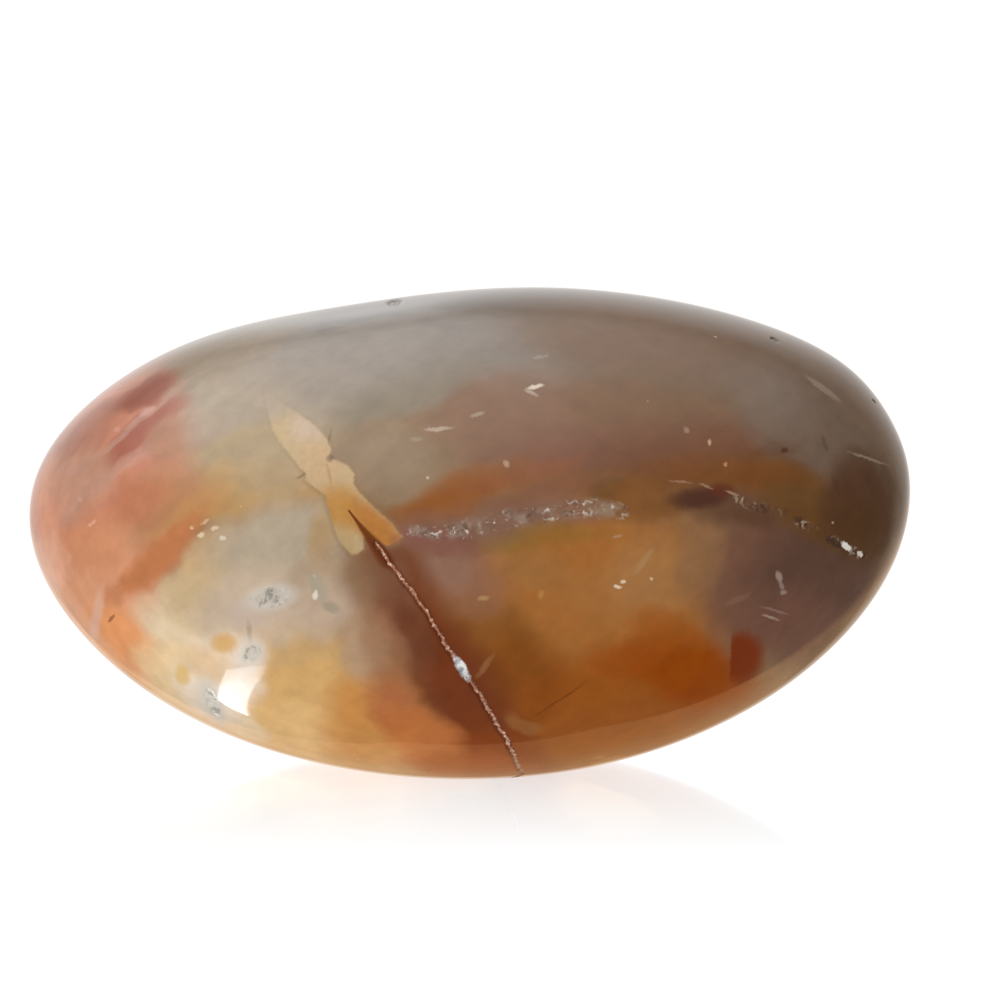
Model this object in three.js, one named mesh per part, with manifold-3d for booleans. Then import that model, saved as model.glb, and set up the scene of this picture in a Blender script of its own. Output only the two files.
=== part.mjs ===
// A tumbled pebble of polychrome jasper, polished all over and resting on one small worn flat.
// Millimetres, +Z up. X runs from the narrow tip to the blunt end, and Y through the pebble.
// The origin is on the resting plane, under the middle of the pebble's box.
import * as THREE from "three";
import { mergeVertices } from "three/addons/utils/BufferGeometryUtils.js";
import Module from "manifold-3d";

// Driving dimensions
const length = 46; // tip to tip
const width = 34; // front to back
const thickness = 25.45; // underside to crown
const flatDepth = 0.2; // how much the resting flat is worn into the underside
const roundness = 15; // how finely each side of the icosahedron is divided

// The plain egg shape, before the swellings and hollows
const bluntness = 0.03; // how much thicker the +X half is
const endBulge = 0.045; // how much squarer the +X tip is
const tilt = 0.75; // how much higher the +X end lies
const bow = 1.65; // how much both ends curve up from the middle
const sway = 0.9; // how much both ends curve towards the back

// Where tumbling left a hollow (rise below 0) or a shoulder: a direction from the middle,
// a reach in radians, and a rise in millimetres
const wear = {
  saddleOnCrown: { at: [-0.25, 0.05, 0.95], reach: 0.26, rise: -0.46 },
  shoulderBesideSaddle: { at: [-0.6, 0, 0.8], reach: 0.3, rise: 0.14 },
  slopeOfCrown: { at: [0.6, 0, 0.8], reach: 0.35, rise: -0.18 },
  flattenedFace: { at: [0.05, -0.99, 0.1], reach: 0.6, rise: -0.7 },
  flattenedUnderside: { at: [-0.12, -0.25, -0.96], reach: 0.5, rise: -0.3 },
  shoulderAtBack: { at: [0.62, 0.78, 0.1], reach: 0.5, rise: 1.1 },
  facetAtBack: { at: [-0.66, 0.75, 0.05], reach: 0.5, rise: -0.9 },
  frontCorner: { at: [0.78, -0.6, 0.1], reach: 0.4, rise: 0.45 },
  rubbedBluntEnd: { at: [0.95, 0, 0.31], reach: 0.2, rise: -0.14 },
  hollowUnderBack: { at: [0.1, 0.7, -0.7], reach: 0.4, rise: -0.35 },
};

const material = new THREE.MeshStandardMaterial({ color: 0xb08560, roughness: 0.12, metalness: 0 });

// Where the pebble's surface lies in one direction from its middle.
function surfacePoint(direction) {
  const { x: u, y: v, z: w } = direction;
  const fullness = 1 + bluntness * u + endBulge * u ** 5;
  const point = new THREE.Vector3(
    (length / 2) * u,
    (width / 2) * v * fullness + sway * u * u,
    (thickness / 2) * w * fullness + tilt * u + bow * u * u,
  );
  for (const { at, reach, rise } of Object.values(wear)) {
    const middle = new THREE.Vector3(...at).normalize();
    const away = direction.angleTo(middle) / reach;
    point.addScaledVector(middle, rise * Math.exp(-away * away));
  }
  return point;
}

// An icosahedron's vertices moved out to the surface, with shared vertices merged.
function pebbleGeometry() {
  const geometry = new THREE.IcosahedronGeometry(1, roundness);
  geometry.deleteAttribute("normal");
  geometry.deleteAttribute("uv");
  const merged = mergeVertices(geometry, 1e-5);
  const position = merged.attributes.position;
  const direction = new THREE.Vector3();
  for (let i = 0; i < position.count; i += 1) {
    direction.fromBufferAttribute(position, i).normalize();
    position.setXYZ(i, ...surfacePoint(direction));
  }
  return merged;
}

function solidOf(wasm, geometry) {
  return new wasm.Manifold(
    new wasm.Mesh({
      numProp: 3,
      vertProperties: geometry.attributes.position.array,
      triVerts: new Uint32Array(geometry.index.array),
    }),
  );
}

// The block whose top face wears the flat into the underside of the pebble.
function lapGeometry(pebble) {
  const { min, max } = pebble.boundingBox;
  const block = new THREE.BoxGeometry(2 * length, 2 * width, thickness);
  block.translate((min.x + max.x) / 2, (min.y + max.y) / 2, min.z + flatDepth - thickness / 2);
  block.deleteAttribute("normal");
  block.deleteAttribute("uv");
  return mergeVertices(block);
}

function geometryOf(solid) {
  const { numProp, numVert, vertProperties, triVerts } = solid.getMesh();
  const position = new Float32Array(numVert * 3);
  for (let i = 0; i < numVert; i += 1) {
    position.set(vertProperties.subarray(i * numProp, i * numProp + 3), i * 3);
  }
  const geometry = new THREE.BufferGeometry();
  geometry.setAttribute("position", new THREE.BufferAttribute(position, 3));
  geometry.setIndex(new THREE.BufferAttribute(triVerts, 1));
  geometry.computeVertexNormals();
  return geometry;
}

const wasm = await Module();
wasm.setup();

const pebble = pebbleGeometry();
pebble.computeBoundingBox();
const worn = geometryOf(solidOf(wasm, pebble).subtract(solidOf(wasm, lapGeometry(pebble))));

const stone = new THREE.Mesh(worn, material);
stone.name = "tumbled_jasper";
const { min, max } = new THREE.Box3().setFromObject(stone);
stone.position.set(-(min.x + max.x) / 2, -(min.y + max.y) / 2, -min.z);

const part = new THREE.Group();
part.add(stone);

export default part;
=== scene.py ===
import math

import bmesh
import bpy
import numpy as np
from mathutils import Matrix, Vector, noise


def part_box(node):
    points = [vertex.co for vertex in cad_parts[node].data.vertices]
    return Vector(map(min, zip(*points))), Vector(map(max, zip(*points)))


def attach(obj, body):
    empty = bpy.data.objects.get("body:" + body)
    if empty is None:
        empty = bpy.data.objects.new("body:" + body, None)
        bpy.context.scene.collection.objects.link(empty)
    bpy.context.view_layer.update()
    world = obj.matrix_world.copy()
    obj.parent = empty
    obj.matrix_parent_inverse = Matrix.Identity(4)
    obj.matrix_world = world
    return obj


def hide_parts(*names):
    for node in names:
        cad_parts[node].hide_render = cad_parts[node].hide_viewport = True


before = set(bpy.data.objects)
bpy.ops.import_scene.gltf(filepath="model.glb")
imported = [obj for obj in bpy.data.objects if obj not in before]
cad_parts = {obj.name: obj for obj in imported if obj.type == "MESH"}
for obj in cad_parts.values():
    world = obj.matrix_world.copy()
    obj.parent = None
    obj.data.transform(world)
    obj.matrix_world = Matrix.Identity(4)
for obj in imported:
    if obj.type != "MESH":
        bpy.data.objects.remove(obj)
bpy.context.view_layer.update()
boxLow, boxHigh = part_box("tumbled_jasper")
boxSize = boxHigh - boxLow
middle = (boxLow + boxHigh) / 2
mm = 0.001
print("frame loaded, box in mm", [round(side / mm, 2) for side in boxSize])

# Places on the figured face are given in millimetres from the middle of the stone, seen squarely
# from a little above: across to the right, up the face, and depth going away.
faceTilt = math.radians(12)
faceTurn = Matrix.Rotation(faceTilt, 3, "X")

view = {
    "lens": 150,
    "distance": 0.218,
    "aim": Vector((0.0016, 0, 0.0015)),  # from the middle of the stone
}


def makeCamera():
    camera = bpy.data.objects.new("camera", bpy.data.cameras.new("camera"))
    camera.data.lens = view["lens"]
    camera.data.sensor_width = 36
    aim = middle + view["aim"]
    camera.location = aim + view["distance"] * Vector((0, -math.cos(faceTilt), math.sin(faceTilt)))
    camera.rotation_euler = (math.pi / 2 - faceTilt, 0, 0)
    camera.data.clip_start = 0.01
    bpy.context.scene.collection.objects.link(camera)
    bpy.context.scene.camera = camera


makeCamera()
print("camera placed")

pebble = {
    "fineness": 7,  # icosphere subdivisions
    "refinements": (1.6, 1.2, 1),  # how near the fine figure each halving of the mesh reaches
    "bluntness": 0.03,  # how much thicker the right half is
    "endBulge": 0.045,  # how much squarer the right tip is
    "tilt": 0.75,  # how much higher the right end lies
    "bow": 1.65,  # how much both ends curve up
    "sway": 0.9,  # how much both ends curve towards the back
    "flatDepth": 0.2,  # worn off the underside
    "length": 46,
    "width": 34,
    "thickness": 25.45,
}

# hollows and shoulders: direction, reach in radians, rise in mm
wear = {
    "saddleOnCrown": ((-0.25, 0.05, 0.95), 0.26, -0.46),
    "shoulderBesideSaddle": ((-0.6, 0, 0.8), 0.3, 0.14),
    "slopeOfCrown": ((0.6, 0, 0.8), 0.35, -0.18),
    "flattenedFace": ((0.05, -0.99, 0.1), 0.6, -0.7),
    "flattenedUnderside": ((-0.12, -0.25, -0.96), 0.5, -0.3),
    "shoulderAtBack": ((0.62, 0.78, 0.1), 0.5, 1.1),
    "facetAtBack": ((-0.66, 0.75, 0.05), 0.5, -0.9),
    "frontCorner": ((0.78, -0.6, 0.1), 0.4, 0.45),
    "rubbedBluntEnd": ((0.95, 0, 0.31), 0.2, -0.14),
    "hollowUnderBack": ((0.1, 0.7, -0.7), 0.4, -0.35),
}


# Millimetre places of the polished surface, for an array of unit directions.
def pebbleSurface(directions):
    u, v, w = directions.T
    fullness = 1 + pebble["bluntness"] * u + pebble["endBulge"] * u**5
    places = np.column_stack((
        pebble["length"] / 2 * u,
        pebble["width"] / 2 * v * fullness + pebble["sway"] * u * u,
        pebble["thickness"] / 2 * w * fullness + pebble["tilt"] * u + pebble["bow"] * u * u,
    ))
    for at, reach, rise in wear.values():
        centre = np.array(at) / np.linalg.norm(at)
        away = np.arccos(np.clip(directions @ centre, -1, 1)) / reach
        places += np.outer(rise * np.exp(-(away**2)), centre)
    return places


def directionsOf(mesh):
    directions = np.array([vert.co for vert in mesh.verts])
    return directions / np.linalg.norm(directions, axis=1)[:, None]


# The figure that is cut into the surface, as (across, up) places on the face.
crack = {
    "path": [(-4.35, -0.65), (-3.8, -1.4), (-2.3, -3.6), (-1.15, -5.3), (-0.25, -6.8), (0.95, -8.8),
             (2.0, -10.4), (2.6, -12.2), (2.8, -13.4)],
    "halfWidth": 0.11,
    "deep": 0.08,
    "lean": 0.25,  # sideways for each millimetre further back than the rim underneath
    "rimDepth": -6.5,
    "under": (-9, -12),  # it turns underneath between these heights
    "gone": (1, 6),  # and fades out between these depths
    "fine": 0.32,  # the mesh is finest this close
}

# jags of the crack: swing in mm, turns per mm, start
jags = [(0.06, 0.19, 0.4), (0.022, 0.83, 1.9), (0.012, 2.1, 0.7), (0.008, 4.3, 2.6)]

leaf = {
    "outline": [(-10.25, 7.2), (-9.4, 6.4), (-8.4, 5.8), (-7.6, 5.2), (-6.9, 4.5), (-6.65, 3.95),
                (-6.75, 3.5), (-6.2, 3.35), (-5.75, 3.1), (-5.5, 2.7), (-5.55, 2.3), (-5.3, 1.9),
                (-4.6, 1.2), (-3.8, 0.5), (-3.15, -0.3), (-3.4, -0.6), (-3.9, -0.75), (-4.5, -0.45),
                (-5.05, -0.35), (-5.0, -0.9), (-5.3, -1.15), (-5.6, -1.2), (-6.1, -0.7), (-6.45, -0.05),
                (-6.6, 0.6), (-6.8, 1.2), (-6.95, 1.75), (-7.4, 2.05), (-7.95, 2.45), (-7.85, 2.7),
                (-8.25, 3.1), (-8.8, 3.8), (-9.25, 4.3), (-9.65, 5.0), (-9.85, 5.7), (-10.1, 6.6)],
    "fine": 0.22,
}

slit = {
    "path": [(-5.75, 0.95), (-5.1, 0.1), (-4.5, -0.65), (-3.9, -1.5)],
    "fine": 0.5,
}

seam = {
    "path": [(-2.7, 0.0), (-1.2, -0.2), (-0.3, 0.0), (1.1, 0.4), (2.4, 0.6), (3.8, 0.75), (4.8, 0.95),
             (5.8, 1.1), (6.5, 1.05), (7.5, 0.9)],
    "halfWidth": 0.55,
    "deep": 0.035,
    "fine": 0.7,
}

speckLine = {
    "path": [(13.3, 1.5), (13.9, 1.2), (14.9, 1.0), (15.9, 0.7), (16.9, 0.1), (18.0, -0.5), (19.1, -1.0),
             (19.8, -1.3)],
    "halfWidth": 0.26,
    "deep": 0.06,
    "fine": 0.4,
}

# crystal-lined pits: across, up, half width, half height, turn in degrees, depth
pits = {
    "widePit": (-9.6, -3.3, 1.0, 0.5, 12, 0.24),
    "lowPit": (-10.6, -6.1, 0.5, 0.38, 40, 0.16),
    "edgePit": (-12.8, -8.8, 0.3, 0.85, 14, 0.08),
}

# short dark chips near the crown, given the same way
chips = {
    "leftChip": (-3.9, 11.75, 0.55, 0.3, 8, 0.12),
    "rightChip": (15.7, 9.7, 0.3, 0.16, -28, 0.08),
    "farChip": (20.9, 6.55, 0.2, 0.12, -50, 0.06),
}


relief = {
    "swell": 0.02,  # mm, the polish is never quite even
    "swellPerMm": 0.16,
    "grains": ((0.6, 3.1), (0.4, 7.3)),  # share, and how many per mm
    "frontEnds": (1, 3),  # the fine figure fades out between these depths
    "chipsEnd": (0.5, 2),  # and the chips between these
}

nowhere = 1000.0  # mm, further than anything reaches
offTheStone = 50  # mm, further than the figure's paint reaches


# Distance from a path with its side as the sign, and how far along the path that is.
def awayFromPath(spots, path):
    away = np.full(len(spots), nowhere)
    along = np.zeros(len(spots))
    travelled = 0
    for start, end in zip(np.array(path), np.array(path[1:])):
        run = end - start
        length = np.linalg.norm(run)
        share = np.clip((spots - start) @ run / length**2, 0, 1)
        gap = spots - start - np.outer(share, run)
        distance = np.linalg.norm(gap, axis=1)
        nearer = distance < abs(away)
        side = np.where(run[0] * gap[:, 1] > run[1] * gap[:, 0], 1, -1)
        away = np.where(nearer, distance * side, away)
        along = np.where(nearer, travelled + share * length, along)
        travelled += length
    return away, along


# Distance from an outline, above zero inside it.
def insideOutline(spots, outline):
    corners = np.array(outline)
    inside = np.zeros(len(spots), bool)
    for (x0, y0), (x1, y1) in zip(corners, np.roll(corners, -1, 0)):
        between = (spots[:, 1] > min(y0, y1)) & (spots[:, 1] <= max(y0, y1))
        crossing = x0 + (spots[:, 1] - y0) * (x1 - x0) / (y1 - y0 if y1 != y0 else 1)
        inside ^= between & (spots[:, 0] < crossing)
    away = abs(awayFromPath(spots, outline + outline[:1])[0])
    return np.where(inside, away, -away)


# How far out of an ellipse a spot is, 1 on its rim.
def outOfEllipse(spots, ellipse):
    across, up, wide, tall, turn = ellipse[:5]
    turn = math.radians(turn)
    x, y = spots[:, 0] - across, spots[:, 1] - up
    return np.hypot((x * math.cos(turn) + y * math.sin(turn)) / wide,
                    (y * math.cos(turn) - x * math.sin(turn)) / tall)


# The same for the nearest of several ellipses.
def outOfNearest(spots, ellipses):
    return np.minimum.reduce([outOfEllipse(spots, ellipse) for ellipse in ellipses.values()])


def smooth(value, start, end):
    share = np.clip((value - start) / (end - start), 0, 1)
    return share * share * (3 - 2 * share)


def crackAway(face):
    across, depth, up = face.T
    beyondRim = np.maximum(depth - crack["rimDepth"], 0)
    leaning = crack["lean"] * beyondRim * smooth(up, *crack["under"])
    away, along = awayFromPath(np.column_stack([across + leaning, up]), crack["path"])
    for swing, turns, start in jags:
        away = away + swing * np.sin(math.tau * turns * along + start)
    return away


# Places in millimetres on the face, as across, depth and up, for a mesh's directions.
def onFace(directions, fit):
    scale, shift = fit
    return (pebbleSurface(directions) * scale + shift) @ np.array(faceTurn).T


# Distance left to the nearest fine figure, in shares of its reach, for the front half.
def closeness(face):
    spots = face[:, [0, 2]]
    nearest = np.minimum.reduce([
        *[abs(awayFromPath(spots, line["path"])[0]) / line["fine"]
          for line in (crack, slit, seam, speckLine)],
        abs(insideOutline(spots, leaf["outline"])) / leaf["fine"],
        outOfNearest(spots, pits) / 1.4,
        outOfNearest(spots, chips) / 1.6,
    ])
    return np.where(face[:, 1] < relief["frontEnds"][1], nearest, nowhere)


# Halves the edges around the fine figure, a few times over.
def refine(mesh, fit):
    for reach in pebble["refinements"]:
        edges = list(mesh.edges)
        centres = np.array([edge.verts[0].co + edge.verts[1].co for edge in edges])
        centres /= np.linalg.norm(centres, axis=1)[:, None]
        near = closeness(onFace(centres, fit)) < reach
        chosen = [edge for edge, isNear in zip(edges, near) if isNear]
        bmesh.ops.subdivide_edges(mesh, edges=chosen, cuts=1, use_grid_fill=True)
        bmesh.ops.triangulate(mesh, faces=[face for face in mesh.faces if len(face.verts) > 3])
        for vert in mesh.verts:
            vert.co.normalize()


# Small grains for the insides of pits and seams, from -1 to 1.
def grains(face, perMm):
    return np.array([noise.noise(Vector(spot) * perMm) for spot in face])


# Rise above the polished surface in millimetres, below zero in the crack, pits and chips.
def reliefOf(face):
    spots, depth = face[:, [0, 2]], face[:, 1]
    front = 1 - smooth(depth, *relief["frontEnds"])
    rise = relief["swell"] * grains(face, relief["swellPerMm"])
    cracked = np.exp(-(crackAway(face) / crack["halfWidth"]) ** 4)
    rise -= crack["deep"] * cracked * (1 - smooth(depth, *crack["gone"]))
    fine = np.flatnonzero(closeness(face) < 1.2)  # grains take long, so only where they show
    rough = np.zeros(len(face))
    rough[fine] = sum(share * grains(face[fine], perMm) for share, perMm in relief["grains"])
    for line in (seam, speckLine):
        away = abs(awayFromPath(spots, line["path"])[0])
        within = 1 - smooth(away, 0.3 * line["halfWidth"], line["halfWidth"])
        rise += line["deep"] * within * (rough - 0.25) * front
    for pit in pits.values():
        within = 1 - smooth(outOfEllipse(spots, pit), 0.45, 1)
        rise -= pit[5] * within * (0.65 - 0.7 * rough) * front
    for chip in chips.values():
        within = 1 - smooth(outOfEllipse(spots, chip), 0.5, 1)
        rise -= chip[5] * within * (0.8 - 0.3 * rough) * (1 - smooth(depth, *relief["chipsEnd"]))
    return rise


# Writes onto the mesh how far each vertex is from the fine figure, for the material to read.
def addFigure(data, face):
    spots, depth = face[:, [0, 2]], face[:, 1]
    behind = offTheStone * smooth(depth, *relief["frontEnds"])
    slitAway, slitAlong = awayFromPath(spots, slit["path"])
    seamAway, seamAlong = awayFromPath(spots, seam["path"])
    speckAway = awayFromPath(spots, speckLine["path"])[0]
    written = {
        "crackAway": abs(crackAway(face)) + offTheStone * smooth(depth, *crack["gone"]),
        "leafInside": insideOutline(spots, leaf["outline"]) - behind,
        "slitAway": abs(slitAway) + behind,
        "slitAlong": slitAlong,
        "seamAway": abs(seamAway) + behind,
        "seamAlong": seamAlong,
        "speckAway": abs(speckAway) + behind,
        "pitOut": outOfNearest(spots, pits) + behind,
        "chipOut": outOfNearest(spots, chips) + offTheStone * smooth(depth, *relief["chipsEnd"]),
    }
    for name, values in written.items():
        attribute = data.attributes.new(name, "FLOAT", "POINT")
        attribute.data.foreach_set("value", np.asarray(values, np.float32))


def moveVertices(mesh, places):
    for vert, place in zip(mesh.verts, places):
        vert.co = place


def makeStone():
    mesh = bmesh.new()
    bmesh.ops.create_icosphere(mesh, subdivisions=pebble["fineness"], radius=1)
    places = pebbleSurface(directionsOf(mesh))
    low, high = places.min(0), places.max(0)
    low[2] += pebble["flatDepth"]
    # fitted to the CAD solid's box, side by side
    scale = np.array(boxSize) / mm / (high - low)
    fit = scale, -scale * (low + high) / 2
    refine(mesh, fit)
    directions = directionsOf(mesh)
    places = pebbleSurface(directions) * scale + fit[1]
    moveVertices(mesh, places)
    mesh.normal_update()
    outward = np.array([vert.normal for vert in mesh.verts])
    face = onFace(directions, fit)
    places += outward * reliefOf(face)[:, None]
    places = places * mm + np.array(middle)
    places[:, 2] = np.maximum(places[:, 2], boxLow.z)  # the worn flat
    moveVertices(mesh, places)
    data = bpy.data.meshes.new("jasper_stone")
    mesh.to_mesh(data)
    mesh.free()
    for polygon in data.polygons:
        polygon.use_smooth = True
    addFigure(data, face)
    stone = bpy.data.objects.new("jasper_stone", data)
    bpy.context.scene.collection.objects.link(stone)
    return stone


stone = makeStone()
print("stone shaped,", len(stone.data.polygons), "faces")


# Nodes are added to the tree that was started last.
def startTree(owner):
    global tree
    owner.use_nodes = True
    tree = owner.node_tree
    return owner


def newNode(kind, operation=None):
    made = tree.nodes.new(kind)
    if operation:
        made.operation = operation
    return made


def plug(socket, value):
    if isinstance(value, bpy.types.NodeSocket):
        tree.links.new(value, socket)
    else:
        socket.default_value = value


def plugAll(sockets, values):
    for socket, value in zip(sockets, values):
        plug(socket, value)


def calculate(operation, *values):
    made = newNode("ShaderNodeMath", operation)
    plugAll(made.inputs, values)
    return made.outputs[0]


def calculateVector(operation, *values):
    made = newNode("ShaderNodeVectorMath", operation)
    plugAll(made.inputs, values)
    return made.outputs["Value" if operation in ("LENGTH", "DOT_PRODUCT") else "Vector"]


def scaled(vector, factor):
    made = newNode("ShaderNodeVectorMath", "SCALE")
    plug(made.inputs[0], vector)
    plug(made.inputs["Scale"], factor)
    return made.outputs[0]


def axesOf(vector):
    made = newNode("ShaderNodeSeparateXYZ")
    plug(made.inputs[0], vector)
    return made.outputs


# Runs from low to high while the value goes from start to end.
def ramp(value, start, end, low=0.0, high=1.0, way="SMOOTHSTEP"):
    made = newNode("ShaderNodeMapRange")
    made.interpolation_type = way
    if start > end:
        start, end, low, high = end, start, high, low
    plugAll(made.inputs, (value, start, end, low, high))
    return made.outputs[0]


# A noise texture, whose outputs are one number and one colour.
def clouds(place, perMm, detail=2.0, roughness=0.5, distortion=0.0):
    made = newNode("ShaderNodeTexNoise")
    plug(made.inputs["Vector"], place)
    plug(made.inputs["Scale"], perMm)
    plug(made.inputs["Detail"], detail)
    plug(made.inputs["Roughness"], roughness)
    plug(made.inputs["Distortion"], distortion)
    return made.outputs


def cloud(*values):
    return clouds(*values)[0]


# The place moved about by clouds, up to half a number of millimetres each way.
def stirred(place, perMm, amount, detail=2.0):
    swing = calculateVector("SUBTRACT", clouds(place, perMm, detail)[1], (0.5, 0.5, 0.5))
    return calculateVector("ADD", place, scaled(swing, amount))


def blend(share, under, over):
    made = newNode("ShaderNodeMix")
    made.data_type = "RGBA"
    plug(made.inputs[0], share)
    plug(made.inputs[6], under)
    plug(made.inputs[7], over)
    return made.outputs[2]


def attributeOf(name):
    made = newNode("ShaderNodeAttribute")
    made.attribute_name = name
    return made.outputs["Fac"]


def linear(channel):
    return channel / 12.92 if channel <= 0.04045 else ((channel + 0.055) / 1.055) ** 2.4


def paint(hexColour):
    return [*(linear(int(hexColour[i:i + 2], 16) / 255) for i in (0, 2, 4)), 1]


# Lays a paint over a colour by the product of some shares.
def lay(colour, hexColour, *shares):
    share = shares[0]
    for other in shares[1:]:
        share = calculate("MULTIPLY", share, other)
    return blend(share, colour, paint(hexColour))


# The place with 1 for its depth, so that one product can move, turn and stretch it.
def flattened(place):
    return calculateVector("MULTIPLY_ADD", place, (1, 0, 1), (0, 1, 0))


# Full inside the zone's ellipse and nothing outside it, on a flattened place.
def zoneShare(place, across, up, wide, tall, turn, edge, strength):
    turn = math.radians(turn)
    c, s = math.cos(turn), math.sin(turn)
    along = (c / wide, -(c * across + s * up) / wide, s / wide)
    over = (-s / tall, (s * across - c * up) / tall, c / tall)
    u = calculateVector("DOT_PRODUCT", place, along)
    v = calculateVector("DOT_PRODUCT", place, over)
    out = calculate("MULTIPLY_ADD", v, v, calculate("MULTIPLY", u, u))
    return ramp(out, (1 - edge) ** 2, (1 + edge) ** 2, strength, 0.0)


def layZones(colour, zones, place):
    for hexColour, *zone in zones.values():
        colour = lay(colour, hexColour, zoneShare(place, *zone))
    return colour


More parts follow.
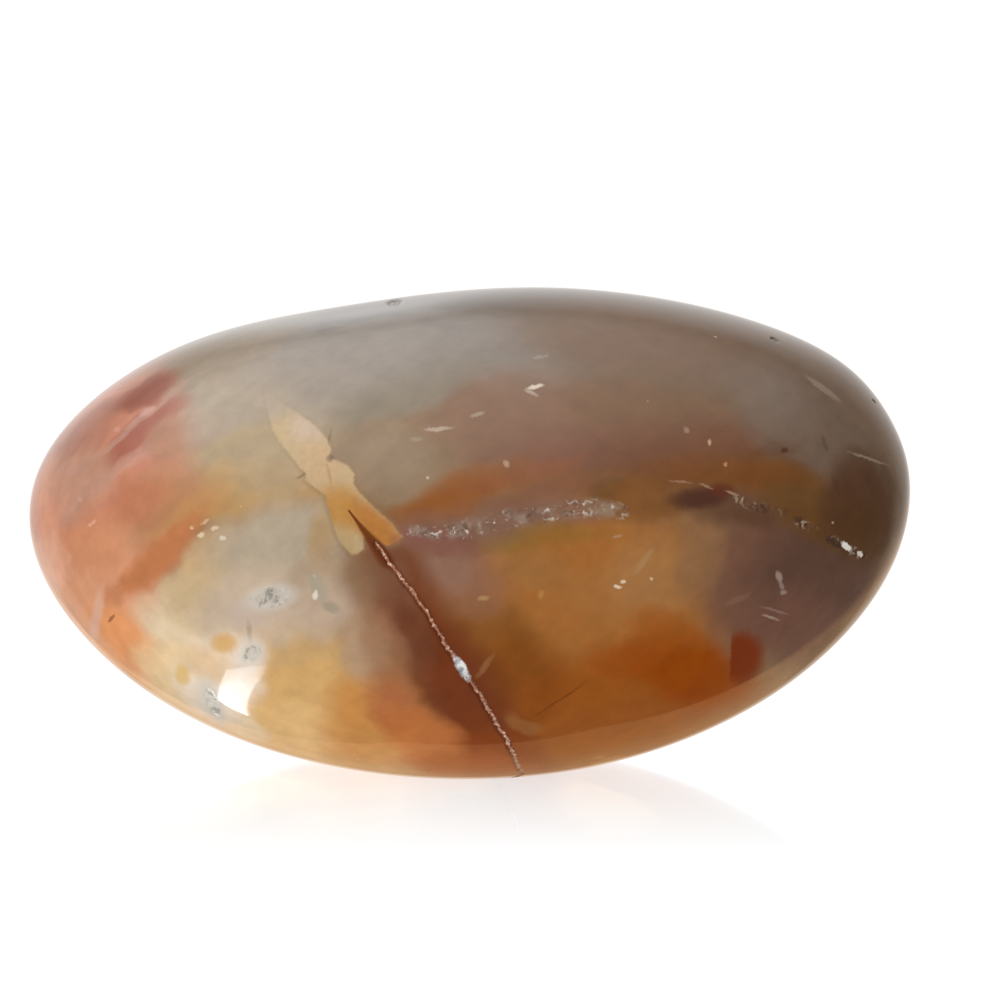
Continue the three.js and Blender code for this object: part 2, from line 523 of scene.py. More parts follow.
# Each zone: colour, across and up, half width and half height, turn in degrees, softness of its
# edge, strength. Later zones lie over earlier ones.
ground = "8c6f52"
figure = {
    # crown and shoulders
    "greyCrown": ("81756a", -2.5, 9.3, 9, 2.6, -2, 0.5, 1),
    "umberCrown": ("5c4a39", 4, 11.9, 8, 1.1, -6, 0.6, 0.9),
    "brownShoulder": ("70533a", 11.5, 8.6, 7.6, 3.2, -14, 0.6, 1),
    "brownCrown": ("705034", 8, 9.6, 4.5, 1.2, -8, 0.7, 0.8),
    "beigeLeft": ("a3927d", -10, 6.3, 5.5, 2.3, 10, 0.5, 1),
    "paleLeftCrown": ("8f8378", -6, 8.3, 4, 1.6, 8, 0.6, 0.8),
    "umberRimLeft": ("5f5449", -6.5, 11.4, 5.5, 0.8, 9, 0.6, 0.7),
    "oliveRim": ("8f7c64", -12.6, 9, 3.6, 1, 24, 0.6, 0.8),
    # middle
    "tanMiddle": ("8b7052", -3.3, 3.6, 4.2, 2.4, 15, 0.6, 1),
    "umberMiddle": ("825e46", 3.2, 4.8, 4.4, 2.3, -10, 0.6, 1),
    "mauveMiddle": ("7d533f", 6.8, 3.6, 4, 1.4, -2, 0.6, 0.9),
    "brownCrownMiddle": ("74502f", 8.6, 6.2, 3.4, 1.1, -4, 0.6, 0.75),
    "warmMiddle": ("7c5233", 6.4, 2.4, 2.4, 0.6, 0, 0.7, 0.8),
    "brownMiddle": ("73492e", 12.5, 3.6, 5.5, 1.5, -6, 0.6, 1),
    "greyShoulder": ("756050", 17.6, 5, 4, 2.2, -38, 0.6, 1),
    "greyStreak": ("847866", -3, 6.8, 3.4, 0.9, 20, 0.7, 0.8),
    # left end
    "greenBeige": ("a99271", -11.3, 3.3, 4.2, 1.6, 14, 0.5, 1),
    "ochreLeft": ("b9925f", -10.6, 1.8, 4.2, 1.1, 6, 0.6, 0.9),
    "greyByLeaf": ("ab9575", -9.3, 3, 1.6, 1.3, 20, 0.7, 0.7),
    "greyAboveLeft": ("a59480", -11.6, 5.9, 3, 1.1, 16, 0.45, 0.9),
    "mauveAboveLeft": ("aa937e", -13, 5, 1, 0.7, 30, 0.7, 0.7),
    "umberByLeaf": ("937b61", -4, 3.2, 2, 1.6, -20, 0.6, 0.9),
    "salmon": ("c28065", -19.4, 1.2, 5, 7.5, -14, 0.3, 1),
    "salmonTongue": ("b4805a", -15.4, 1.1, 2.2, 1.6, 35, 0.6, 0.9),
    "deepSalmon": ("a05a45", -16.8, 4.6, 2.9, 0.8, 36, 0.45, 0.95),
    "pinkUnder": ("c08f7b", -17.8, 2.9, 2.8, 0.3, 36, 0.7, 0.7),
    "terracotta": ("c07a5b", -17.4, 1, 2, 0.9, 30, 0.7, 0.8),
    "paleSalmon": ("bd9079", -20, 2.8, 1.8, 1.8, 20, 0.7, 0.8),
    "duskyTip": ("92503a", -16.5, 7, 2.1, 0.7, 27, 0.4, 1),
    "duskyRim": ("a06a55", -19.6, 5, 1.6, 0.7, 42, 0.7, 0.7),
    "paleStripe": ("b98f7e", -17.3, 5, 3.6, 0.14, 36, 0.8, 0.6),
    "endOfPink": ("a67759", -15, 4.5, 0.9, 0.7, 36, 0.7, 0.7),
    "lowSalmon": ("e0a07a", -18.6, -3.6, 2.8, 3.2, -25, 0.6, 0.9),
    "warmUnderTip": ("c98660", -19.2, -1, 1.7, 1.2, 0, 0.7, 0.7),
    "paleTip": ("de9d80", -22.6, -0.6, 1.5, 3, -8, 0.7, 0.9),
    "paleTipLow": ("ebb397", -22, -2.3, 1.1, 1.7, -20, 0.7, 0.8),
    # pools and cream
    "cream": ("e8cfac", -12.9, -6.6, 3.6, 4.4, 0, 0.4, 1),
    "orangeEdge": ("ee9f66", -17.3, -6, 1.1, 2.1, 35, 0.6, 0.9),
    "yellowCream": ("f0cf9f", -14.9, -7.4, 1.5, 1.3, -30, 0.7, 0.9),
    "tanPool": ("c9ad84", -12.6, -2.8, 2, 1.7, 20, 0.6, 0.9),
    "creamByStreak": ("cfa678", -12.9, -0.9, 1.2, 0.6, 36, 0.7, 0.6),
    "ochreByStreak": ("c59c6c", -11.2, -0.2, 1.3, 0.6, 20, 0.7, 0.6),
    "greyPool": ("b5a48d", -8.9, -0.6, 3.4, 1.7, 8, 0.5, 1),
    "goldByLeaf": ("b28e5c", -7, -0.5, 0.5, 1.1, 0, 0.8, 0.7),
    "ochreBank": ("bd8b5a", -13.6, 0.8, 1.7, 0.6, 30, 0.7, 0.9),
    "orangeStreak": ("bf784c", -15.6, -1.5, 2.8, 0.7, 42, 0.6, 0.95),
    "pinkGrey": ("c9b39c", -10.4, -3.7, 2.6, 1.6, 10, 0.5, 0.9),
    "greyBelow": ("b3997c", -6.6, -2.9, 1.6, 1.6, -20, 0.6, 0.9),
    "brownLeftOfCrack": ("a08060", -5, -3.1, 0.8, 1.3, 5, 0.7, 0.7),
    "golden": ("d6aa6e", -7.6, -8.7, 4, 3.1, -14, 0.5, 1),
    "goldenLow": ("e8bd80", -8.8, -10.4, 4, 1.3, -16, 0.7, 0.9),
    "rimGoldLeft": ("e8bd84", -6, -11.5, 4.5, 0.7, -10, 0.7, 0.8),
    "rimGoldMiddle": ("f2c088", -4.5, -11, 2.2, 0.7, -8, 0.7, 0.9),
    # painted highlight: a pale patch that carries the window's reflection on below it
    "paintedHighlightUnderWindow": ("f0d9b8", -11.4, -10, 1, 0.6, -20, 0.8, 0.7),
    "goldenLeft": ("caa675", -8.4, -5.5, 2, 0.8, 6, 0.7, 0.5),
    "creamBelow": ("f2e2d2", -12.4, -7.6, 1.8, 2, -30, 0.5, 0.8),
    "yellowBySpots": ("e3b87c", -13, -6.6, 1, 0.7, -20, 0.8, 0.6),
    "ochreLow": ("c78745", -4.6, -9.4, 2, 2.8, -30, 0.6, 0.9),
    "tanWedge": ("ad8a6b", -4.9, -4.9, 1, 2.2, 8, 0.6, 0.7),
    "lilacByWedge": ("c4ab95", -7, -3.8, 1.1, 1.2, 0, 0.8, 0.8),
    "paleByGolden": ("cdb69f", -9.2, -4.7, 1.2, 0.6, 0, 0.8, 0.6),
    "paleByWedge": ("ba997a", -5.1, -5.7, 0.8, 1, 8, 0.8, 0.8),
    # the amber half
    "amber": ("a86b33", 5.8, -3.4, 7.2, 4.6, -10, 0.45, 1),
    "brightAmber": ("b07540", 7.2, -3.2, 2.4, 1.1, -10, 0.7, 0.5),
    "rimGold": ("ad6f24", 7.8, -11.2, 4.4, 0.9, 12, 0.7, 0.75),
    "burntLow": ("9a5110", 6.5, -9.2, 7, 2.6, 8, 0.5, 0.9),
    "brownByCrack": ("84501f", 1.2, -5.4, 2, 1.6, -50, 0.6, 0.8),
    "deepBrown": ("854510", 2.6, -7.2, 1.8, 1.6, -30, 0.7, 0.75),
    "paleAmber": ("ad7c4c", 8.8, -2.2, 1.7, 1.5, -20, 0.7, 0.7),
    "burntOrange": ("944400", 11, -6.9, 2.7, 1.5, -22, 0.5, 1),
    "emberAbove": ("a2571b", 9.8, -4.9, 1.5, 0.8, -20, 0.7, 0.7),
    "emberSpot": ("9c4a0d", 7.8, -6.2, 1.7, 0.8, 5, 0.7, 0.7),
    "mauveByCrack": ("96694f", -0.5, -1.8, 2.2, 1.6, -25, 0.7, 0.9),
    "lilacByCrack": ("93705e", -1, -1.7, 1.2, 0.9, 0, 0.8, 0.7),
    "rustByMauve": ("a2703f", 3, -1.6, 1.4, 0.8, -10, 0.7, 0.7),
    # the dark wedge along the crack
    "wedge": ("74381b", -0.9, -7.05, 6.1, 1.5, -60, 0.8, 1),
    "wedgeTop": ("80533c", -3.2, -3.9, 2.4, 0.75, -68, 0.7, 0.9),
    "wedgeMiddle": ("6c371d", -2.5, -5, 1.4, 0.6, -64, 0.7, 0.7),
    "wedgeFoot": ("8a4217", 2.2, -11.4, 2.4, 1.2, -30, 0.6, 0.9),
    "fadeByWedge": ("9a6b4c", -3.9, -6.2, 2, 0.7, -66, 0.8, 0.7),
    "glowByWedge": ("b0693f", -3.3, -8.7, 1.5, 1, -55, 0.7, 0.9),
    "orangeGlow": ("bf713b", -2, -10.5, 1.9, 1.2, -40, 0.7, 0.9),
    "rimUnderGlow": ("a8531f", -0.3, -11.9, 2.6, 0.8, 0, 0.7, 0.7),
    # seam and flame
    "flame": ("935728", -1.1, 1.3, 3.2, 0.75, 30, 0.8, 0.95),
    "mauveAboveSeam": ("7f5440", 3.4, 1.7, 2.4, 0.5, 14, 0.7, 0.6),
    "flameEnd": ("8d5433", 2.6, 2.7, 2.4, 0.4, 16, 0.7, 0.6),
    "seamShade": ("86614f", 0.6, 0.3, 4.8, 0.9, 10, 0.7, 0.7),
    "seamGrey": ("84614e", 1.6, 0.3, 3.6, 0.6, 10, 0.7, 0.9),
    "oliveGlow": ("8f6a2c", 3.2, -0.3, 2.2, 0.4, 6, 0.8, 0.55),
    "darkAboveSeam": ("6a4e33", 6.9, 1.9, 0.7, 0.5, 0, 0.7, 0.7),
    "brownAfterSeam": ("7f5128", 8.6, 1.5, 1.9, 0.8, 0, 0.7, 0.85),
    "mauveUnderSeam": ("85574b", -1.3, -0.6, 1.6, 0.6, 0, 0.7, 0.85),
    # right end
    "mauveRight": ("7b5542", 14.4, -2.4, 2.5, 3.6, -10, 0.4, 1),
    "plumRight": ("66483a", 17.4, -2.2, 3, 3.2, -35, 0.45, 1),
    "plumLow": ("775242", 16.6, -5, 2.6, 1.6, -35, 0.6, 0.8),
    "paleBand": ("926a48", 11.3, -1.4, 1, 1.8, 0, 0.6, 0.8),
    "brownUnderSpot": ("64432f", 12.9, 1, 2, 0.8, -8, 0.7, 0.9),
    "oliveRight": ("6e4923", 17, 1.2, 3.4, 1.3, -30, 0.5, 0.9),
    "darkLobe": ("5b3b25", 19.8, 1.4, 1.9, 2.1, -10, 0.55, 0.95),
    "lobeFoot": ("5d3d22", 19.9, -0.2, 1.3, 1.6, -20, 0.5, 0.8),
    "amberTop": ("7c4b24", 12.5, 2.8, 3.6, 0.7, -2, 0.7, 0.8),
    "rustStreak": ("5f3a1e", 15.2, 3.9, 0.9, 0.25, 6, 0.8, 0.35),
    # painted shade: a near-black band along the lower right rim, where the stone turns away under
    "paintedShadeRimRight": ("2c1a12", 18.6, -6.3, 4.6, 0.6, 43, 0.8, 0.85),
    "rimGlowRight": ("cf9a5c", 7.6, -12.3, 2.6, 0.45, 10, 0.8, 0.8),
    # small round spots
    "blob": ("9a6336", 2.5, -9.4, 0.85, 0.4, -25, 0.35, 0.7),
}

# The leaf-shaped inclusion, pale at the top, golden in the middle and orange in its right prong.
leafGround = "bfa47c"
leafFigure = {
    "tip": ("b3a08a", -10, 6.8, 1.3, 1.2, 0, 0.6, 1),
    "paleSide": ("c4ac93", -7.9, 5, 0.9, 0.6, -50, 0.6, 0.9),
    "neck": ("c3a27a", -6.8, 3, 1.5, 0.8, -50, 0.6, 0.9),
    "lobe": ("c1a47c", -6, 2.7, 0.6, 0.5, 0, 0.6, 0.8),
    "gold": ("bd8a48", -6.2, 1.0, 1, 0.9, -40, 0.7, 1),
    "rightProng": ("b87a3c", -4.3, 0, 1.5, 0.6, -45, 0.7, 1),
    "prongTip": ("a66a45", -3.3, -0.6, 0.4, 0.25, -45, 0.7, 0.8),
    "leftProng": ("bb9d70", -6.1, -0.6, 0.8, 0.45, -65, 0.6, 0.9),
}

# Thin pale and dark marks in the polish and just below it, and two painted glints.
marks = {
    "purpleSpot": ("4f2d24", 11.3, 1.55, 1.1, 0.38, 4, 0.8, 0.85),
    "redOfSpot": ("63301f", 12.4, 1.95, 0.5, 0.25, 4, 0.8, 0.75),
    "whiteSprinkle": ("e2cba8", -13.1, -0.25, 0.16, 0.1, 20, 0.5, 0.9),
    "whiteSprinkle2": ("ddc6a2", -12.4, 0.1, 0.17, 0.09, 10, 0.5, 0.9),
    "whiteSprinkle3": ("d9b78d", -12.9, 0.4, 0.22, 0.07, 35, 0.6, 0.7),
    "whiteSprinkle4": ("dcb78c", -13.6, 0.1, 0.09, 0.08, 0, 0.6, 0.8),
    "whiteSprinkle5": ("e0d3c0", -12, -0.4, 0.13, 0.08, 0, 0.7, 0.8),
    "pinkFleck": ("dfa98f", -18.9, 0.3, 0.24, 0.08, 35, 0.6, 0.7),
    "pinkFleck2": ("d69e88", -19.6, 1.5, 0.12, 0.1, 0, 0.6, 0.6),
    "pinkFleck3": ("cc9d90", -16.2, 5.95, 0.35, 0.13, 25, 0.7, 0.7),
    "pinkFleck4": ("c99a8c", -17.8, 5.05, 0.14, 0.1, 20, 0.7, 0.6),
    "yellowSpot": ("dba550", -12, -5.6, 0.55, 0.4, 0, 0.7, 0.75),
    "lowYellowSpot": ("e2b95c", -14.3, -7.3, 0.33, 0.42, 0, 0.7, 0.7),
    "lineBetweenPits": ("9a8a74", -10.7, -4.95, 0.1, 0.5, 4, 0.7, 0.6),
    "greyBlotch": ("a49f8c", -7.3, -2.75, 0.28, 0.6, 30, 0.8, 0.6),
    "greyBlotchLow": ("97907c", -6.6, -3.75, 0.35, 0.2, -20, 0.8, 0.6),
    "whitePrick": ("e8dccb", -7.4, -3.15, 0.12, 0.2, -20, 0.5, 0.9),
    "lilacPatch": ("c7b3a7", -10.9, -4.1, 0.7, 0.6, 0, 0.8, 0.5),
    "greyGreenEdge": ("dcd5c6", -12.9, -8.6, 0.5, 1, 14, 0.8, 0.7),
    "palePit": ("eadfd2", -10.6, -6.1, 0.6, 0.7, 0, 0.8, 0.6),
    "crescent": ("dccbb6", 3.35, 7.05, 0.36, 0.1, 12, 0.5, 0.9),
    "crescentTail": ("b5a18d", 3.15, 6.75, 0.3, 0.07, -25, 0.6, 0.7),
    "dash": ("b9a691", -1.4, 4.95, 0.55, 0.09, 4, 0.6, 0.75),
    "shortDash": ("ad9985", 0.5, 5.65, 0.3, 0.08, 18, 0.6, 0.6),
    "fleck": ("bd9c86", 1.9, 3.25, 0.11, 0.15, 30, 0.6, 0.7),
    "faintDash": ("a39382", -2.5, 4.45, 0.25, 0.08, 0, 0.7, 0.5),
    "dirtyPatch": ("86694e", -5.2, -2.5, 0.9, 0.9, 0, 0.8, 0.4),
    "leafTick": ("6e553c", -8.1, 2.65, 0.22, 0.06, 30, 0.6, 0.6),
    "leafTickTop": ("6e5a45", -6.75, 4.6, 0.05, 0.35, -12, 0.6, 0.5),
    "leafTickSide": ("6a523c", -6.7, 3.5, 0.14, 0.16, 20, 0.7, 0.6),
    "leafLine": ("a27f52", -6.75, 2.7, 0.06, 0.5, 12, 0.7, 0.5),
    "crownDash": ("9d8c7c", 3.6, 8.6, 0.35, 0.07, 10, 0.6, 0.5),
    "sliver": ("9c8b79", 18, 7.1, 1.0, 0.16, -36, 0.35, 0.6),
    "lobeEdge": ("9a8570", 20.2, 3.55, 0.9, 0.06, -16, 0.6, 0.8),
    "palePrick": ("c9a37c", 11.9, 4.3, 0.09, 0.14, 0, 0.5, 0.8),
    "palePrick2": ("c08f60", 12.7, 3.2, 0.09, 0.1, 0, 0.5, 0.8),
    "palePrick3": ("ad9079", 10.8, 4.9, 0.12, 0.14, 40, 0.6, 0.5),
    "strokeLeft": ("a88468", 10.4, 2.35, 0.45, 0.045, -6, 0.7, 0.6),
    "strokeMid": ("ae8a6d", 11.7, 2.15, 0.3, 0.05, -20, 0.7, 0.65),
    "strokeRight": ("b3927a", 13, 1.8, 0.28, 0.06, -18, 0.7, 0.7),
    "darkPrick": ("4b2814", 15.7, 3.95, 0.16, 0.12, 20, 0.6, 0.8),
    "darkMark": ("4d3d31", 17.8, 4.3, 0.09, 0.3, 15, 0.8, 0.4),
    "darkMarkLow": ("4a331f", 18.3, 2.2, 0.1, 0.4, 20, 0.8, 0.35),
    # painted highlights: two near-white glints at the end of the line of specks
    "paintedGlint": ("fbf4ea", 18.9, -0.85, 0.34, 0.13, -38, 0.4, 1),
    "paintedGlintRight": ("f3e6d6", 19.65, -1.25, 0.17, 0.12, -40, 0.4, 1),
    "scuffLow": ("927568", 15.2, -4.0, 0.6, 0.06, -16, 0.6, 0.7),
    "scuffLower": ("a98f80", 15.0, -4.35, 0.42, 0.06, -16, 0.5, 0.8),
    "scuffLeft": ("8f6a59", 13.3, -3.4, 0.5, 0.12, 22, 0.8, 0.4),
    "scuffTop": ("b39c90", 15.35, -2.3, 0.12, 0.22, 20, 0.7, 0.7),
    "scuffMiddle": ("a48c82", 15.5, -2.75, 0.09, 0.18, 30, 0.7, 0.7),
    "scuffBottom": ("a8938a", 15.6, -3.1, 0.13, 0.1, 0, 0.7, 0.7),
    "whiteFleck": ("ecd3b4", 7.3, -2.75, 0.16, 0.09, -15, 0.5, 0.95),
    "whiteFleckTop": ("e8ceb0", 7.6, -2.5, 0.1, 0.09, 0, 0.5, 0.95),
    "whiteFleckRight": ("d9bb93", 8.95, -2.35, 0.08, 0.08, 0, 0.5, 0.9),
    "paleStreak": ("b28c60", 8.6, -1.5, 0.6, 0.13, 52, 0.6, 0.6),
    "hookOfSeam": ("b49373", 7.3, -0.3, 0.2, 0.06, 15, 0.5, 0.7),
    "fleckLow": ("c09a66", 0.8, -3.3, 0.25, 0.1, 5, 0.6, 0.6),
    "fleckLow2": ("c08c50", 3.6, -3.1, 0.12, 0.18, -30, 0.6, 0.6),
    "thinCrack": ("5c2c0c", 4.6, -8.3, 1.15, 0.045, 34, 0.8, 0.45),
    "glowBesideBead": ("a2714a", 0.9, -6.6, 0.55, 0.12, 55, 0.7, 0.5),
    "tipDash": ("7a4a30", -17.95, -4.5, 0.24, 0.07, 45, 0.6, 0.7),
    "paleSliver": ("e0b5a0", -18.85, -4.5, 0.24, 1.1, -17, 0.8, 0.7),
}

material = startTree(bpy.data.materials.new("polished_jasper"))
shader = tree.nodes["Principled BSDF"]

toFace = newNode("ShaderNodeMapping")
toFace.vector_type = "TEXTURE"
plug(toFace.inputs["Vector"], newNode("ShaderNodeTexCoord").outputs["Object"])
plug(toFace.inputs["Location"], middle)
plug(toFace.inputs["Rotation"], (-faceTilt, 0, 0))
plug(toFace.inputs["Scale"], (mm, mm, mm))
face = toFace.outputs[0]
depth, up = axesOf(face)["Y"], axesOf(face)["Z"]
front = ramp(depth, -3, 0, 1, 0)

# the broad figure runs through the stone and wanders more the deeper it goes
wandering = stirred(face, 0.06, ramp(depth, -3, 12, 0, 34), 1.0)
soft = stirred(stirred(wandering, 0.3, 1.7), 1.3, 0.35, 3.0)
colour = layZones(paint(ground), figure, flattened(soft))

# a little of every colour is unevenly mixed, and faint bands run up to the right
mottle = cloud(wandering, 0.9, 4.0, 0.6)
bandWay, bandCross = (0.77, 0, 0.64), (-0.64, 0, 0.77)
banded = newNode("ShaderNodeCombineXYZ")
plugAll(banded.inputs, (
    calculateVector("DOT_PRODUCT", soft, tuple(0.16 * c for c in bandWay)),
    calculateVector("DOT_PRODUCT", soft, tuple(1.5 * c for c in bandCross)),
    calculate("MULTIPLY", depth, 0.1),
))
bands = cloud(banded.outputs[0], 1.0, 3.0, 0.6)
colour = scaled(colour, calculate("MULTIPLY", ramp(mottle, 0.25, 0.75, 0.93, 1.07),
                                  ramp(bands, 0.3, 0.7, 0.975, 1.025)))

# the leaf, in a thin shade that borders it
firmPlace = flattened(stirred(face, 1.4, 0.35, 3.0))
grain = cloud(face, 2.6, 4.0, 0.65)
leafColour = layZones(paint(leafGround), leafFigure, firmPlace)
leafColour = scaled(leafColour, ramp(grain, 0.3, 0.7, 0.95, 1.05))
ragged = calculate("MULTIPLY_ADD", calculate("SUBTRACT", cloud(face, 4.0), 0.5), 0.16,
                   attributeOf("leafInside"))
colour = lay(colour, "8f7350", ramp(ragged, -0.28, -0.02), ramp(up, 5.5, 2, 0.1, 0.45))
leafShare = calculate("MULTIPLY", ramp(ragged, -0.08, 0.09), ramp(up, 7.2, 4.8, 0.05, 0.95))
colour = blend(leafShare, colour, leafColour)

# dark slit between the prongs, widening into the crack
slitWidth = ramp(attributeOf("slitAlong"), 0, 3, 0.05, 0.34)
slitOut = calculate("DIVIDE", attributeOf("slitAway"), slitWidth)
colour = lay(colour, "67300f", ramp(slitOut, 1.5, 0.5, 0, 0.92))

# the marks and the red block with one straight side only show on the front
exactPlace = flattened(stirred(stirred(face, 2.0, 0.14), 6.0, 0.17))
marked = layZones(colour, marks, exactPlace)
redBlock = zoneShare(exactPlace, 13.6, -6.35, 1.05, 1.2, 10, 0.4, 0.95)
marked = lay(marked, "7b3006", redBlock, ramp(axesOf(exactPlace)["X"], 12.95, 13.1))
colour = blend(front, colour, marked)

# tiny pale flecks are sprinkled over the whole stone
sprinkle = newNode("ShaderNodeTexVoronoi")
plug(sprinkle.inputs["Vector"], stirred(face, 6.0, 0.12))
plug(sprinkle.inputs["Scale"], 0.55)
fleckSize = ramp(axesOf(sprinkle.outputs["Color"])["X"], 0.55, 1, 0, 0.055)
fleckOut = calculate("SUBTRACT", sprinkle.outputs["Distance"], fleckSize)
colour = lay(colour, "d9c3aa", ramp(fleckOut, 0.006, -0.012, 0, 0.55))

# crystal seam: greyish, with pale and dark crystal grains
seamAlong = attributeOf("seamAlong")
seamReach = calculate("MULTIPLY", ramp(seamAlong, 0, 3, 0.6, 1), ramp(seamAlong, 11.6, 9.5, 0.5, 1))
seamHere = ramp(calculate("DIVIDE", attributeOf("seamAway"), seamReach), 0.62, 0.1)
finest = stirred(face, 5.0, 0.25)
paleGrains = cloud(finest, 2.1, 3.0, 0.6, 0.9)
darkGrains = cloud(calculateVector("ADD", finest, (7, 3, 5)), 1.9, 3.0, 0.6, 0.6)
colour = lay(colour, "a4917f", seamHere, ramp(cloud(face, 1.1), 0.42, 0.6, 0, 0.5))
colour = lay(colour, "5f4a3d", seamHere, ramp(darkGrains, 0.46, 0.38, 0, 0.7))
colour = lay(colour, "dacdbf", seamHere, ramp(paleGrains, 0.55, 0.7, 0, 0.95))

# finer line of specks on the right
speckHere = calculate("MULTIPLY", ramp(attributeOf("speckAway"), 0.36, 0.08),
                      ramp(cloud(face, 0.9), 0.42, 0.56))
colour = lay(colour, "40281c", speckHere, ramp(darkGrains, 0.5, 0.42, 0, 0.7))
colour = lay(colour, "b39a80", speckHere, ramp(paleGrains, 0.54, 0.64, 0, 0.8))

# grey crystals in the pits, and dark chips
pitOut = calculate("MULTIPLY_ADD", calculate("SUBTRACT", paleGrains, 0.5), 0.5, attributeOf("pitOut"))
colour = lay(colour, "d6cfc4", ramp(pitOut, 1.8, 0.7, 0, 0.7))
colour = lay(colour, "86867a", ramp(pitOut, 1.2, 0.7), ramp(darkGrains, 0.52, 0.4, 0, 0.6))
colour = lay(colour, "55483c", ramp(attributeOf("chipOut"), 1, 0.7, 0, 0.8))

# the crack's copper filling, in strands whose pale parts are painted highlights where the broken edge
# catches light, with a bead of quartz
crackOut = attributeOf("crackAway")
strand = cloud(face, 4.5, 3.0, 0.7)
strandWidth = ramp(strand, 0.35, 0.7, 0.045, 0.105)
crackShare = ramp(calculate("DIVIDE", crackOut, strandWidth), 1.3, 0.7)
# pale painted highlights mixed into the copper strands
fillingAndPaintedHighlights = blend(ramp(strand, 0.48, 0.66), paint("b3714f"), paint("ecc9b2"))
colour = lay(colour, "5a2a16", ramp(crackOut, 0.3, 0.1, 0, 0.5))
colour = blend(crackShare, colour, fillingAndPaintedHighlights)
bead = zoneShare(exactPlace, -0.25, -6.75, 0.6, 0.2, -60, 0.4, 1)
quartz = blend(ramp(paleGrains, 0.4, 0.6), paint("9aa0a4"), paint("f2efec"))
colour = blend(calculate("MULTIPLY", bead, front), colour, quartz)
plug(shader.inputs["Base Color"], colour)

# dull where the surface is broken
broken = calculate("MAXIMUM", calculate("MAXIMUM", seamHere, speckHere),
                   calculate("MAXIMUM", ramp(pitOut, 1.1, 0.8), crackShare))
polish = ramp(cloud(face, 0.7, 3.0), 0.3, 0.7, 0.045, 0.075)
plug(shader.inputs["Roughness"], calculate("MULTIPLY_ADD", broken, 0.3, polish))
# crystal facets there too, and the faintest orange peel elsewhere
bump = newNode("ShaderNodeBump")
plug(bump.inputs["Distance"], 0.00004)
facets = calculate("MULTIPLY_ADD", paleGrains, broken, calculate("MULTIPLY", grain, 0.01))
plug(bump.inputs["Height"], facets)
plug(shader.inputs["Normal"], bump.outputs[0])
shader.inputs["IOR"].default_value = 1.54
stone.data.materials.append(material)
print("figure painted,", len(tree.nodes), "nodes")

studio = {
    "floorSize": 6.0,
    "mirror": 0.6,  # share mirrored by the floor beside the stone
    "mirrorReach": (0.0025, 0.0168),  # where towards the viewer the mirror is full, and has gone
    "mirrorWidth": (0.015, 0.028),  # the same to either side
    "mirrorRoughness": 0.035,
    "floorGlow": 1.01,
    "backdropGlow": 0.57,  # what the floor mirrors where the stone isn't
    "worldOnMatt": 0.35,
    "worldInGloss": 0.06,
    "worldSeen": 1.0,
}


# Two shaders added up as the surface of the material in hand.
def addShaders(first, second):
    both = newNode("ShaderNodeAddShader")
    plugAll(both.inputs, (first.outputs[0], second.outputs[0]))
    plug(newNode("ShaderNodeOutputMaterial").inputs["Surface"], both.outputs[0])


# A pale glossy floor whose mirror dies away towards the viewer and to the sides. It glows by what the
# mirror lacks, so it stays even from the front; from other sides the mirror shows little there, so the
# dimmed glow leaves a painted shadow round the stone.
def makeFloor():
    bpy.ops.mesh.primitive_plane_add(size=studio["floorSize"], location=(0, 0, boxLow.z))
    floor = bpy.context.object
    floor.name = "floor"
    surface = startTree(bpy.data.materials.new("pale_floor"))
    tree.nodes.clear()
    axes = axesOf(newNode("ShaderNodeTexCoord").outputs["Object"])
    aside, towards = calculate("ABSOLUTE", axes["X"]), calculate("ABSOLUTE", axes["Y"])
    share = calculate("MULTIPLY",
                      ramp(towards, *studio["mirrorReach"], studio["mirror"], 0, "LINEAR"),
                      ramp(aside, *studio["mirrorWidth"], 1, 0, "LINEAR"))
    mirror = newNode("ShaderNodeBsdfGlossy")
    plug(mirror.inputs["Color"], share)
    plug(mirror.inputs["Roughness"], studio["mirrorRoughness"])
    glow = newNode("ShaderNodeEmission")
    plug(glow.inputs["Strength"],
         calculate("MULTIPLY_ADD", share, -studio["backdropGlow"], studio["floorGlow"]))
    addShaders(glow, mirror)
    surface.cycles.emission_sampling = "NONE"
    floor.data.materials.append(surface)
    floor.visible_glossy = False


# Corners of an upright card across the view.
def upright(left, right, away, bottom, top):
    return [(left, away, bottom), (right, away, bottom), (right, away, top), (left, away, top)]


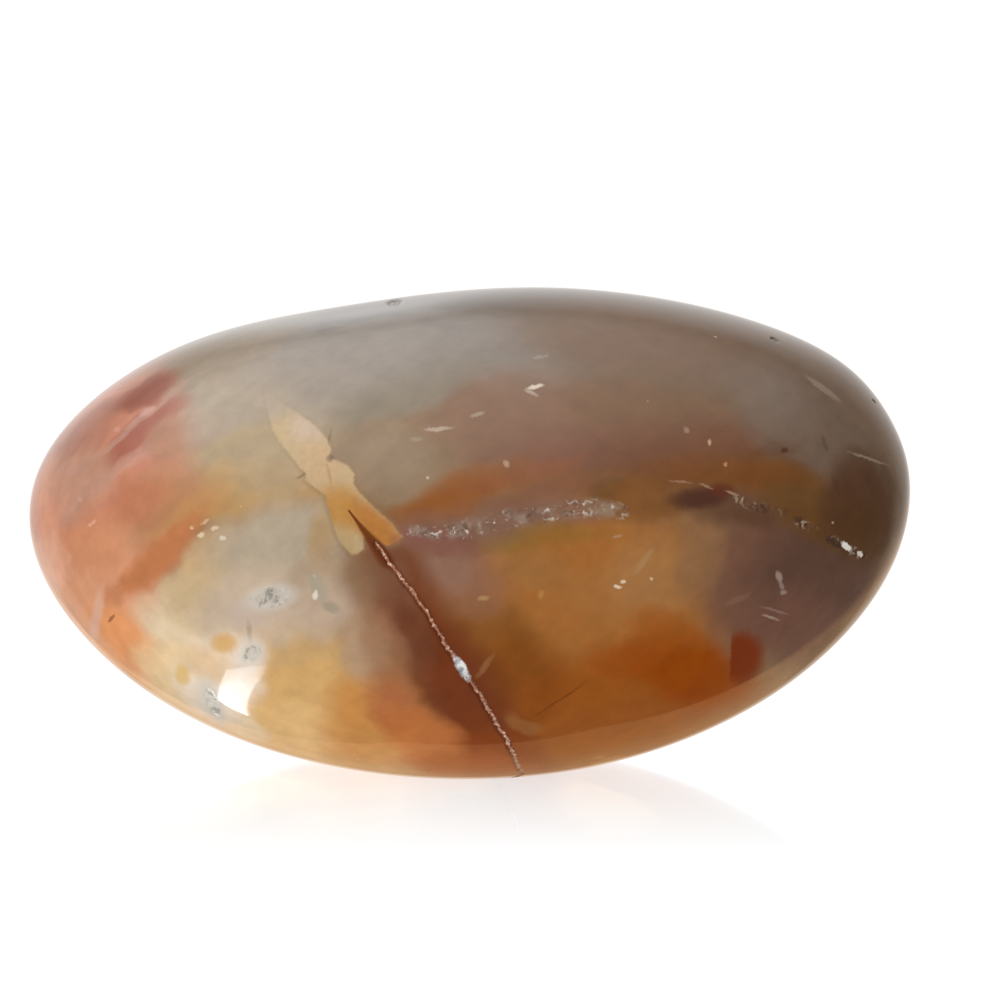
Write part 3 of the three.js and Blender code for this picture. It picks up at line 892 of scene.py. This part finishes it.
# in metres; each card is full inside the nearer fade distance from its heart and gone beyond the
# further one, counted along its own directions
cards = {
    "backdrop_card": {
        "corners": upright(-4.6, 3.4, 2.8, -1.4, 3.2),
        "strength": 1,
        "fade": (-0.9, 3.3),
        "heart": (-0.5, 2.8, 0.3),
        "along": (0.9, 0, 1.1),
    },
    "table_card": {
        "corners": upright(-1.2, 2.5, 2.7, -9, 0.4),
        "strength": 1,
        "colour": (0.44, 0.25, 0.11),
        "fade": (8, 9.3),
        "heart": (0, 2.7, -9),
        "along": (2.6, 0, 1),
    },
    "table_edge_card": {
        "corners": upright(-4, 2, 2.6, -5, 0),
        "strength": 0.45,
        "colour": (1, 0.75, 0.55),
        "fade": (0.1, 1.1),
        "heart": (-1.7, 2.6, -1.6),
        "along": (0.55, 0, 1),
    },
    "ceiling_card": {
        "corners": [(-2.1, -1.4, 1), (1.4, -1.4, 1), (1.4, 2.1, 1), (-2.1, 2.1, 1)],
        "strength": 1.1,
        "fade": (0.4, 1.65),
        "heart": (-0.35, 0.35, 1),
    },
    "window_card": {
        "corners": [(-0.215, -0.03, -0.25), (-0.215, -0.085, -0.25), (-0.205, -0.13, -0.25),
                    (-0.18, -0.06, -0.25), (-0.16, 0.01, -0.25), (-0.143, 0.07, -0.25),
                    (-0.126, 0.133, -0.25), (-0.14, 0.133, -0.25), (-0.157, 0.125, -0.25),
                    (-0.183, 0.045, -0.25)],
        "strength": 5.5,
        "fade": (0.04, 0.32),
        "heart": (-0.15, 0.1, -0.25),
    },
}


# A glowing card that only shows in reflections.
def makeCard(name, corners, strength, fade, heart, colour=(1, 1, 1), along=(1, 1, 1)):
    mesh = bpy.data.meshes.new(name)
    places = [Vector(corner) - Vector(heart) for corner in corners]
    mesh.from_pydata(places, [], [tuple(range(len(corners)))])
    card = bpy.data.objects.new(name, mesh)
    card.location = heart
    bpy.context.scene.collection.objects.link(card)
    surface = startTree(bpy.data.materials.new(name))
    tree.nodes.clear()
    place = newNode("ShaderNodeTexCoord").outputs["Object"]
    away = calculateVector("LENGTH", calculateVector("MULTIPLY", place, along))
    glow = newNode("ShaderNodeEmission")
    plug(glow.inputs["Color"], [*colour, 1])
    plug(glow.inputs["Strength"], ramp(away, *fade, strength, 0))
    addShaders(glow, newNode("ShaderNodeBsdfTransparent"))
    surface.cycles.emission_sampling = "NONE"
    mesh.materials.append(surface)
    card.visible_camera = False
    card.visible_diffuse = False
    card.visible_transmission = False
    card.visible_shadow = False


lamps = {
    "top_softbox": {"place": (-0.05, 0.05, 0.5), "size": 0.5, "watts": 1.6},
    "left_softbox": {"place": (-0.35, -0.35, 0.3), "size": 0.35, "watts": 1.2},
}


def makeLamp(name, place, size, watts):
    light = bpy.data.lights.new(name, "AREA")
    light.shape = "DISK"
    light.size = size
    light.energy = watts
    lamp = bpy.data.objects.new(name, light)
    lamp.location = place
    lamp.rotation_euler = (middle - Vector(place)).to_track_quat("-Z", "Y").to_euler()
    lamp.visible_glossy = False
    lamp.visible_camera = False
    bpy.context.scene.collection.objects.link(lamp)


# White behind the stone, dimmer as light on it and dimmer still in its reflections.
def makeWorld():
    world = startTree(bpy.data.worlds.new("studio"))
    background = tree.nodes["Background"]
    plug(background.inputs["Color"], (1, 1, 1, 1))
    rays = newNode("ShaderNodeLightPath").outputs
    unseen = ramp(rays["Is Glossy Ray"], 0, 1, studio["worldOnMatt"], studio["worldInGloss"])
    plug(background.inputs["Strength"], ramp(rays["Is Camera Ray"], 0, 1, unseen, studio["worldSeen"]))
    bpy.context.scene.world = world


makeFloor()
for name, card in cards.items():
    makeCard(name, **card)
for name, lamp in lamps.items():
    makeLamp(name, **lamp)
makeWorld()
bpy.context.scene.view_settings.view_transform = "Standard"
print("studio lit")

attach(stone, "root")
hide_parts("tumbled_jasper")
